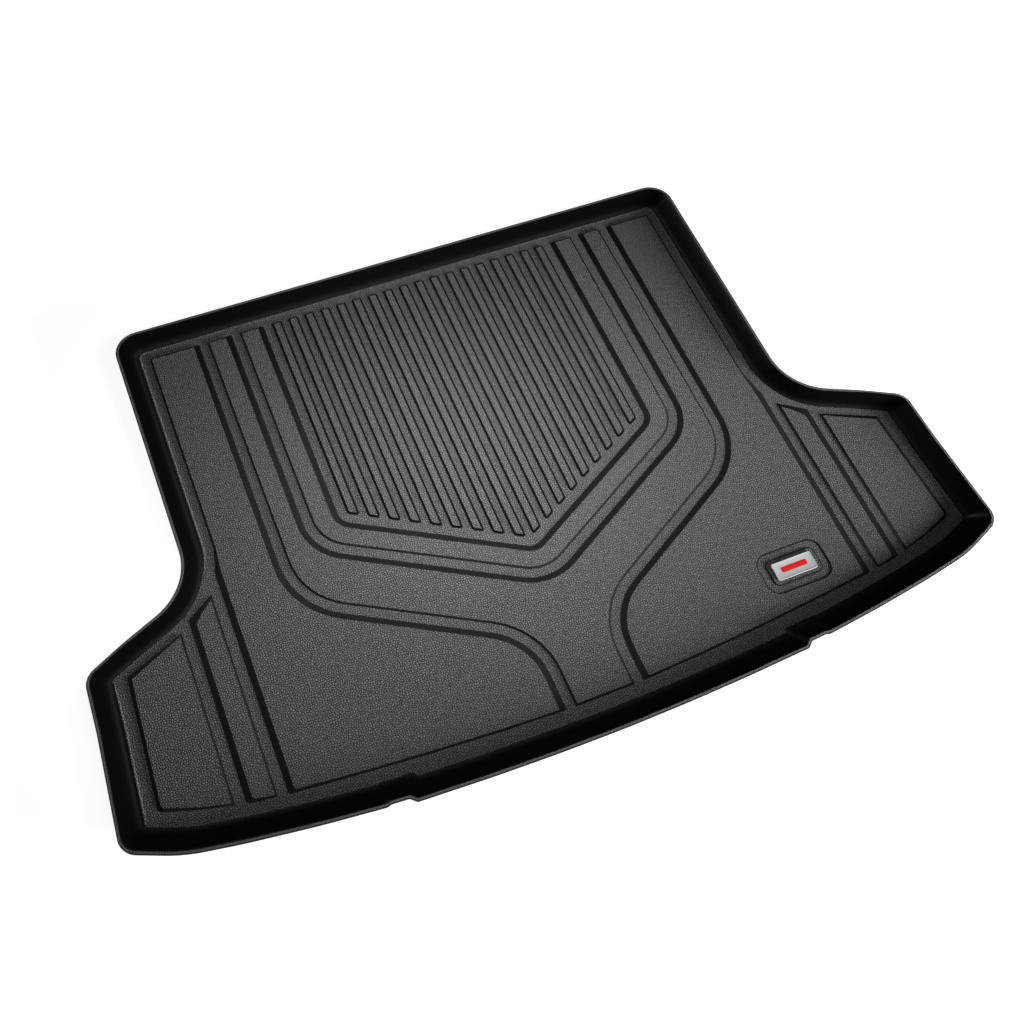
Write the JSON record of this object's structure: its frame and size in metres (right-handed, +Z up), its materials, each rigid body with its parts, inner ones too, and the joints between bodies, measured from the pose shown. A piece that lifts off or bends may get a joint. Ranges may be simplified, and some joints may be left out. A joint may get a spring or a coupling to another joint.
{
  "type": "car boot liner",
  "caption": "Moulded boot liner tray with a flared rim, wheel-arch cut-ins, raised V-pattern floor panels, straight ribs and a small bare metal plate.",
  "frame": {"origin": "middle of the bounding box in plan, on the flat underside", "axes": "+X across the car to the right, +Y towards the rear seats, +Z up out of the tray"},
  "size_m": [1.3898, 0.9154, 0.023],
  "materials": {
    "tray": "matt grained",
    "plate": "satin"
  },
  "bodies": {
    "root": {"liner_tray": "tray", "badge_plate": "plate"}
  },
  "joints": []
}
